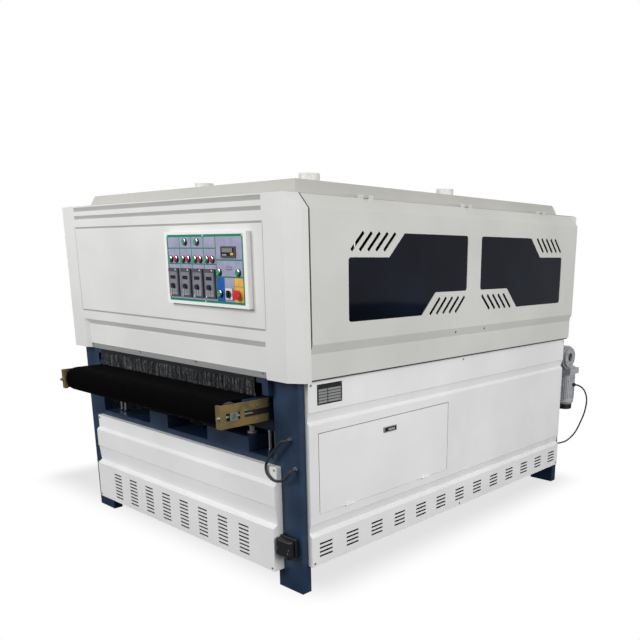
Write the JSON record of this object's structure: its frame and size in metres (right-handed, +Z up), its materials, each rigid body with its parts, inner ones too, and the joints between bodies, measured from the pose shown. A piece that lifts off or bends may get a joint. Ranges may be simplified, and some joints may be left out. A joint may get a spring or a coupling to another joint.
{
  "type": "wide belt and brush sander",
  "caption": "Grey free-standing panel sanding machine with a black feed belt, bristle curtains, side hoods with tinted windows and a green control panel.",
  "frame": {"origin": "middle of the machine's box, on the floor", "axes": "+X to the right of a person at the infeed end (the side with the electrical door), +Y along the feed from infeed to outfeed, +Z up"},
  "size_m": [1.9604, 2.764, 1.825],
  "materials": {
    "navy_paint": "semi-gloss navy paint",
    "casing_paint": "fine-textured light grey powder coat",
    "side_paint": "fine-textured grey powder coat",
    "box_paint": "smooth white powder coat",
    "galvanised": "galvanised sheet",
    "aluminium": "brushed",
    "bristles": "black and grey nylon strands",
    "cast_iron": "painted casting",
    "control_film": "printed satin film with coloured cells",
    "drive_plastic": "dark moulded",
    "grey_box": "moulded grey",
    "white_plastic": "moulded white",
    "black_rubber": "matt",
    "belt_rubber": "ribbed matt belt",
    "roller_steel": "turned",
    "chrome": "bright",
    "zinc_yellow": "yellow passivated zinc",
    "motor_alloy": "cast, satin",
    "gear_paint": "grey enamel",
    "tinted_pane": "dark tinted",
    "black_plastic": "moulded black",
    "abrasive_roller": "abrasive strips on a steel core",
    "screw_steel": "zinc plated",
    "green_lens": "translucent green",
    "red_lens": "translucent red",
    "stop_red": "moulded red"
  },
  "bodies": {
    "frame": {"weldment": "navy_paint", "stop_pads": "white_plastic", "front_panel": "side_paint", "rear_panel": "side_paint", "side_panel_right": "side_paint", "side_panel_left": "side_paint", "casing_front": "casing_paint", "casing_rear": "casing_paint", "mouth_strips": "aluminium", "curtains": "bristles", "roof_cover": "casing_paint", "duct_collars": "galvanised", "bearing_blocks": "cast_iron", "control_box": "box_paint", "control_face": "control_film", "drive_units": "drive_plastic", "junction_box": "grey_box", "hose": "black_rubber", "frame_screws": "screw_steel"},
    "bed": {"table_bed": "navy_paint", "lift_posts": "chrome", "feed_belt": "belt_rubber", "tension_forks": "zinc_yellow", "tension_screws": "screw_steel", "gearbox": "gear_paint", "feed_motor": "motor_alloy", "motor_cable": "black_rubber"},
    "idle_roller": {"idle_roller": "roller_steel"},
    "drive_roller": {"drive_roller": "roller_steel"},
    "hood_right": {"hood_right": "casing_paint", "panes_right": "tinted_pane"},
    "hood_left": {"hood_left": "casing_paint", "panes_left": "tinted_pane"},
    "door": {"electrical_door": "side_paint"},
    "latch": {"door_latch": "black_plastic"},
    "sander_1": {"sander_1": "abrasive_roller"},
    "sander_2": {"sander_2": "abrasive_roller"},
    "sander_3": {"sander_3": "abrasive_roller"},
    "sander_4": {"sander_4": "abrasive_roller"},
    "sander_5": {"sander_5": "abrasive_roller"},
    "sander_6": {"sander_6": "abrasive_roller"},
    "button_1": {"button_1": "green_lens"},
    "button_2": {"button_2": "green_lens"},
    "button_3": {"button_3": "green_lens"},
    "button_4": {"button_4": "red_lens"},
    "button_5": {"button_5": "green_lens"},
    "button_6": {"button_6": "red_lens"},
    "button_7": {"button_7": "green_lens"},
    "button_8": {"button_8": "red_lens"},
    "button_9": {"button_9": "green_lens"},
    "button_10": {"button_10": "red_lens"},
    "button_11": {"button_11": "green_lens"},
    "button_12": {"button_12": "green_lens"},
    "button_13": {"button_13": "green_lens"},
    "stop_button": {"stop_button": "stop_red"},
    "selector": {"selector": "black_plastic"},
    "knob_1": {"knob_1": "black_plastic"},
    "knob_2": {"knob_2": "black_plastic"},
    "knob_3": {"knob_3": "black_plastic"},
    "knob_4": {"knob_4": "black_plastic"}
  },
  "joints": [
    {"name": "bed_lift", "type": "slide", "parent": "frame", "child": "bed", "axis": [0, 0, 1], "range_m": [0, 0.055], "deforming": ["curtains", "motor_cable"]},
    {"name": "drive_turn", "type": "hinge", "parent": "bed", "child": "drive_roller", "pos_m": [0, 1.272, 0.804], "axis": [1, 0, 0], "continuous": true},
    {"name": "idle_turn", "type": "hinge", "parent": "bed", "child": "idle_roller", "pos_m": [0, -1.302, 0.804], "axis": [1, 0, 0], "continuous": true},
    {"name": "hood_right_swing", "type": "hinge", "parent": "frame", "child": "hood_right", "pos_m": [0.912, -0.008, 1.693], "axis": [0, -1, 0], "range_deg": [0, 75]},
    {"name": "hood_left_swing", "type": "hinge", "parent": "frame", "child": "hood_left", "pos_m": [-0.912, -0.008, 1.693], "axis": [0, 1, 0], "range_deg": [0, 75]},
    {"name": "door_swing", "type": "hinge", "parent": "frame", "child": "door", "pos_m": [0.928, -0.583, 0.3585], "axis": [0, 1, 0], "range_deg": [0, 95]},
    {"name": "latch_turn", "type": "hinge", "parent": "door", "child": "latch", "pos_m": [0.924, -0.583, 0.662], "axis": [1, 0, 0], "range_deg": [0, 90]},
    {"name": "sander_1_turn", "type": "hinge", "parent": "frame", "child": "sander_1", "pos_m": [0, -0.8, 1.06], "axis": [1, 0, 0], "continuous": true},
    {"name": "sander_2_turn", "type": "hinge", "parent": "frame", "child": "sander_2", "pos_m": [0, -0.48, 1.06], "axis": [1, 0, 0], "continuous": true},
    {"name": "sander_3_turn", "type": "hinge", "parent": "frame", "child": "sander_3", "pos_m": [0, -0.16, 1.06], "axis": [1, 0, 0], "continuous": true},
    {"name": "sander_4_turn", "type": "hinge", "parent": "frame", "child": "sander_4", "pos_m": [0, 0.16, 1.06], "axis": [1, 0, 0], "continuous": true},
    {"name": "sander_5_turn", "type": "hinge", "parent": "frame", "child": "sander_5", "pos_m": [0, 0.48, 1.06], "axis": [1, 0, 0], "continuous": true},
    {"name": "sander_6_turn", "type": "hinge", "parent": "frame", "child": "sander_6", "pos_m": [0, 0.8, 1.06], "axis": [1, 0, 0], "continuous": true},
    {"name": "button_1_press", "type": "slide", "parent": "frame", "child": "button_1", "axis": [0, 1, 0], "range_m": [0, 0.003], "stiffness_N_per_m": 200},
    {"name": "button_2_press", "type": "slide", "parent": "frame", "child": "button_2", "axis": [0, 1, 0], "range_m": [0, 0.003], "stiffness_N_per_m": 200},
    {"name": "button_3_press", "type": "slide", "parent": "frame", "child": "button_3", "axis": [0, 1, 0], "range_m": [0, 0.003], "stiffness_N_per_m": 200},
    {"name": "button_4_press", "type": "slide", "parent": "frame", "child": "button_4", "axis": [0, 1, 0], "range_m": [0, 0.003], "stiffness_N_per_m": 200},
    {"name": "button_5_press", "type": "slide", "parent": "frame", "child": "button_5", "axis": [0, 1, 0], "range_m": [0, 0.003], "stiffness_N_per_m": 200},
    {"name": "button_6_press", "type": "slide", "parent": "frame", "child": "button_6", "axis": [0, 1, 0], "range_m": [0, 0.003], "stiffness_N_per_m": 200},
    {"name": "button_7_press", "type": "slide", "parent": "frame", "child": "button_7", "axis": [0, 1, 0], "range_m": [0, 0.003], "stiffness_N_per_m": 200},
    {"name": "button_8_press", "type": "slide", "parent": "frame", "child": "button_8", "axis": [0, 1, 0], "range_m": [0, 0.003], "stiffness_N_per_m": 200},
    {"name": "button_9_press", "type": "slide", "parent": "frame", "child": "button_9", "axis": [0, 1, 0], "range_m": [0, 0.003], "stiffness_N_per_m": 200},
    {"name": "button_10_press", "type": "slide", "parent": "frame", "child": "button_10", "axis": [0, 1, 0], "range_m": [0, 0.003], "stiffness_N_per_m": 200},
    {"name": "button_11_press", "type": "slide", "parent": "frame", "child": "button_11", "axis": [0, 1, 0], "range_m": [0, 0.003], "stiffness_N_per_m": 200},
    {"name": "button_12_press", "type": "slide", "parent": "frame", "child": "button_12", "axis": [0, 1, 0], "range_m": [0, 0.003], "stiffness_N_per_m": 200},
    {"name": "button_13_press", "type": "slide", "parent": "frame", "child": "button_13", "axis": [0, 1, 0], "range_m": [0, 0.003], "stiffness_N_per_m": 200},
    {"name": "stop_press", "type": "slide", "parent": "frame", "child": "stop_button", "axis": [0, 1, 0], "range_m": [0, 0.003]},
    {"name": "selector_turn", "type": "hinge", "parent": "frame", "child": "selector", "pos_m": [0.582, -1.205, 1.292], "axis": [0, 1, 0], "range_deg": [-45, 45]},
    {"name": "knob_1_turn", "type": "hinge", "parent": "frame", "child": "knob_1", "pos_m": [0.181, -1.205, 1.315], "axis": [0, 1, 0], "range_deg": [-135, 135]},
    {"name": "knob_2_turn", "type": "hinge", "parent": "frame", "child": "knob_2", "pos_m": [0.276, -1.205, 1.315], "axis": [0, 1, 0], "range_deg": [-135, 135]},
    {"name": "knob_3_turn", "type": "hinge", "parent": "frame", "child": "knob_3", "pos_m": [0.366, -1.205, 1.315], "axis": [0, 1, 0], "range_deg": [-135, 135]},
    {"name": "knob_4_turn", "type": "hinge", "parent": "frame", "child": "knob_4", "pos_m": [0.454, -1.205, 1.315], "axis": [0, 1, 0], "range_deg": [-135, 135]}
  ],
  "couplings": [
    {"joint": "idle_turn", "follows": "drive_turn", "ratio": 1},
    {"joint": "sander_2_turn", "follows": "sander_1_turn", "ratio": -1},
    {"joint": "sander_4_turn", "follows": "sander_3_turn", "ratio": -1},
    {"joint": "sander_6_turn", "follows": "sander_5_turn", "ratio": -1}
  ]
}
